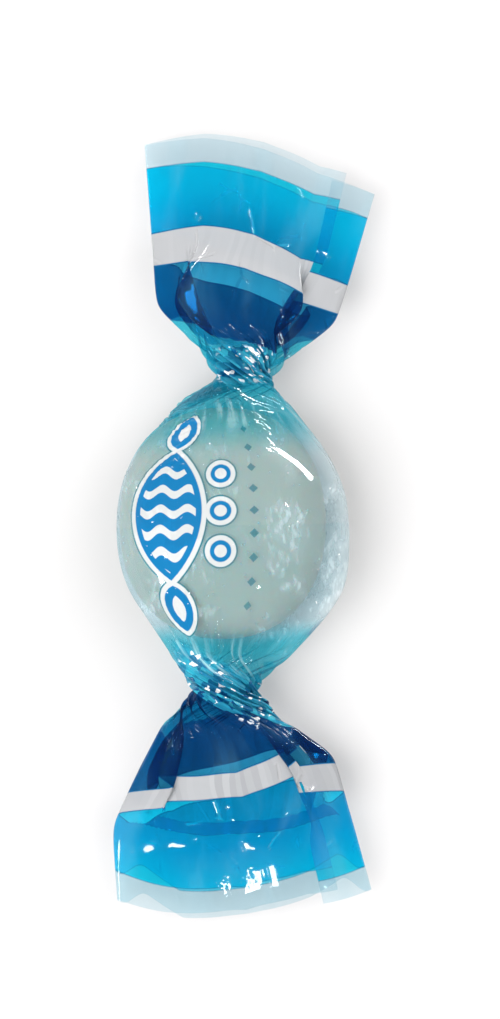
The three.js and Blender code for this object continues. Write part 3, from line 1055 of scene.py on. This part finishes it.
def bubble_tree(material):
    """Geometry Nodes that scatter small bubbles over the upper face of the sweet."""
    tree = bpy.data.node_groups.new("bubbles", "GeometryNodeTree")
    add_sockets(tree, "INPUT", Geometry="Geometry", Amount="Float", Radius="Float")
    add_sockets(tree, "INPUT", Lowest="Float", Seed="Int")
    add_sockets(tree, "OUTPUT", Geometry="Geometry")
    n = Nodes(tree)
    given = n.add("NodeGroupInput").outputs
    _, _, height = n.xyz(n.add("GeometryNodeInputPosition").outputs[0])
    scatter = n.add("GeometryNodeDistributePointsOnFaces", {
        "Mesh": given["Geometry"], "Density": given["Amount"], "Seed": given["Seed"],
        "Selection": n.math("GREATER_THAN", height, given["Lowest"]),
    })
    ball = n.add("GeometryNodeMeshIcoSphere", {"Radius": given["Radius"], "Subdivisions": 1})
    # Sockets 2 and 3 hold the least and the most of a random number.
    sizes = {2: SMALLEST_BUBBLE, 3: 1.0, "Seed": given["Seed"]}
    size = n.add("FunctionNodeRandomValue", sizes, data_type="FLOAT")
    copies = n.add("GeometryNodeInstanceOnPoints", {
        "Points": scatter.outputs["Points"], "Instance": ball.outputs["Mesh"], "Scale": size.outputs[1],
    })
    joined = n.add("GeometryNodeRealizeInstances", {"Geometry": copies.outputs[0]})
    painted = n.add("GeometryNodeSetMaterial", {"Geometry": joined.outputs[0], "Material": material})
    n.add("NodeGroupOutput", {"Geometry": painted.outputs[0]})
    return tree


def small_bubbles(sweet, material):
    """A plain mesh of the bubbles that the nodes scatter over a copy of the sweet."""
    carrier = add_object("bubble_carrier", sweet.data)
    modifier = carrier.modifiers.new("bubbles", "NODES")
    modifier.node_group = bubble_tree(material)
    values = {
        "Amount": BUBBLES_PER_MM2 / MM**2, "Radius": BUBBLE_RADIUS * MM,
        "Lowest": (CORE[2] + BUBBLES_ABOVE) * MM, "Seed": SEED,
    }
    for socket in modifier.node_group.interface.items_tree:
        if socket.in_out == "INPUT" and socket.name in values:
            modifier[socket.identifier] = values[socket.name]
    evaluated = carrier.evaluated_get(bpy.context.evaluated_depsgraph_get())
    mesh = bpy.data.meshes.new_from_object(evaluated)
    bpy.data.objects.remove(carrier)
    return add_object("sugar_bubbles", mesh)


# ---- The pieces ---------------------------------------------------------------------------------


def film_points():
    return relaxed_film()


film = film_points()
rows, columns = film.shape[1:]
wrapper = smooth_mesh(
    "film_wrapper", film.transpose(1, 2, 0).reshape(-1, 3), sheet_faces(rows, columns), film_material()
)
add_sheet_map(wrapper, rows, columns)
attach(wrapper, "root")
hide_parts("wrapper")

cloud = sugar_cloud()
sweet = smooth_mesh("boiled_sweet", *sweet_mesh(), sugar_material("boiled_sugar", cloud, SUGAR_COLOURS))
bubbles = small_bubbles(sweet, sugar_material("bubble_sugar", cloud, BUBBLE_COLOURS))
for piece in (sweet, bubbles):
    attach(piece, "root")
    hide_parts("candy")

# ---- Floor --------------------------------------------------------------------------------------

FLOOR_REACH = 600
FLOOR_Z = -0.02
FLOOR_COLOUR = (0.748, 0.738, 0.737)


def floor_material():
    material, n, output = new_material("floor")
    paper = n.add("ShaderNodeBsdfPrincipled", {"Base Color": (*FLOOR_COLOUR, 1), "Roughness": 0.6})
    n.feed(output.inputs[0], paper.outputs[0])
    return material


corners = [(x * FLOOR_REACH, y * FLOOR_REACH, FLOOR_Z) for x, y in ((-1, -1), (1, -1), (1, 1), (-1, 1))]
smooth_mesh("floor", corners, [(0, 1, 2, 3)], floor_material())

# ---- Light --------------------------------------------------------------------------------------

MIDDLE = (0, 0, 6)
LOWER_BULGE = (0, -30, 6)
# Small lights in a ring: degrees round it, its radius and its height.
GLINTS_AT = (12, 110, 200, 303)
GLINT_RING = 230
GLINT_HEIGHT = 260
# How bright the room is, and how bright in reflections: low down and overhead.
ROOM = 0.53
ROOM_LOW = 0.3
ROOM_OVERHEAD = 0.05


def area_light(name, size, position, target, power, size_y=None, roll=0, lights_shapes=False):
    """A square or oblong light. It either lights and shades things, or is only seen mirrored in them."""
    data = bpy.data.lights.new(name, "AREA")
    data.energy = power
    data.shape = "RECTANGLE"
    data.size = size * MM
    data.size_y = (size_y or size) * MM
    ob = add_object(name, data)
    ob.location = Vector(position) * MM
    facing = (Vector(target) - Vector(position)).to_track_quat("-Z", "Y")
    ob.rotation_euler = (facing @ Quaternion((0, 0, 1), math.radians(roll))).to_euler()
    ob.visible_glossy = not lights_shapes
    ob.visible_diffuse = lights_shapes


def studio_world():
    """A white room. In reflections it is dim overhead, so that the film stays clear."""
    world = bpy.data.worlds.new("studio")
    world.use_nodes = True
    n = Nodes(world.node_tree)
    _, _, height = n.xyz(n.add("ShaderNodeTexCoord").outputs["Generated"])
    reflected = n.lerp(n.ramp(height, 0.15, 0.55), ROOM_LOW, ROOM_OVERHEAD)
    seen_in_gloss = n.add("ShaderNodeLightPath").outputs["Is Glossy Ray"]
    background = world.node_tree.nodes["Background"]
    n.feed(background.inputs["Color"], (1, 1, 1, 1))
    n.feed(background.inputs["Strength"], n.lerp(seen_in_gloss, ROOM, reflected))
    return world


area_light("key", 360, (-215, -70, 385), (0, 0, 0), 1.87, lights_shapes=True)
area_light("fill", 320, (220, 100, 300), (0, 0, 0), 0.62, lights_shapes=True)
area_light("streak", 190, (229, 199, 139), MIDDLE, 0.8, size_y=28, roll=17)
area_light("softbox", 24, (64, -385, 180), LOWER_BULGE, 0.24, size_y=130)
area_light("arc", 56, (-255, -165, 204), LOWER_BULGE, 0.077, size_y=18)
area_light("side_strip", 45, (-150, 210, 160), LOWER_BULGE, 0.05, size_y=8)
# For the glints in the crushed film.
for number, turn in enumerate(GLINTS_AT):
    x, y = GLINT_RING * math.cos(math.radians(turn)), GLINT_RING * math.sin(math.radians(turn))
    area_light(f"glint_{number}", 9, (x, y, GLINT_HEIGHT), MIDDLE, 0.012)
bpy.context.scene.world = studio_world()

# ---- Camera -------------------------------------------------------------------------------------

# The middle of the frame lies a little right of the twists and above the sweet's middle.
CAMERA_AT = (0.39, 1.64, 600)
FRAME_HEIGHT = 94.352
SENSOR = 24


def overhead_camera():
    data = bpy.data.cameras.new("camera")
    data.sensor_fit = "VERTICAL"
    data.sensor_height = SENSOR
    data.lens = SENSOR * CAMERA_AT[2] / FRAME_HEIGHT
    data.clip_start, data.clip_end = 0.01, 10
    camera = add_object("camera", data)
    camera.location = Vector(CAMERA_AT) * MM
    return camera


bpy.context.scene.camera = overhead_camera()
bpy.context.scene.view_settings.view_transform = "Standard"
# Light passes this many layers of film, where folds lie on folds.
bpy.context.scene.cycles.transparent_max_bounces = 18
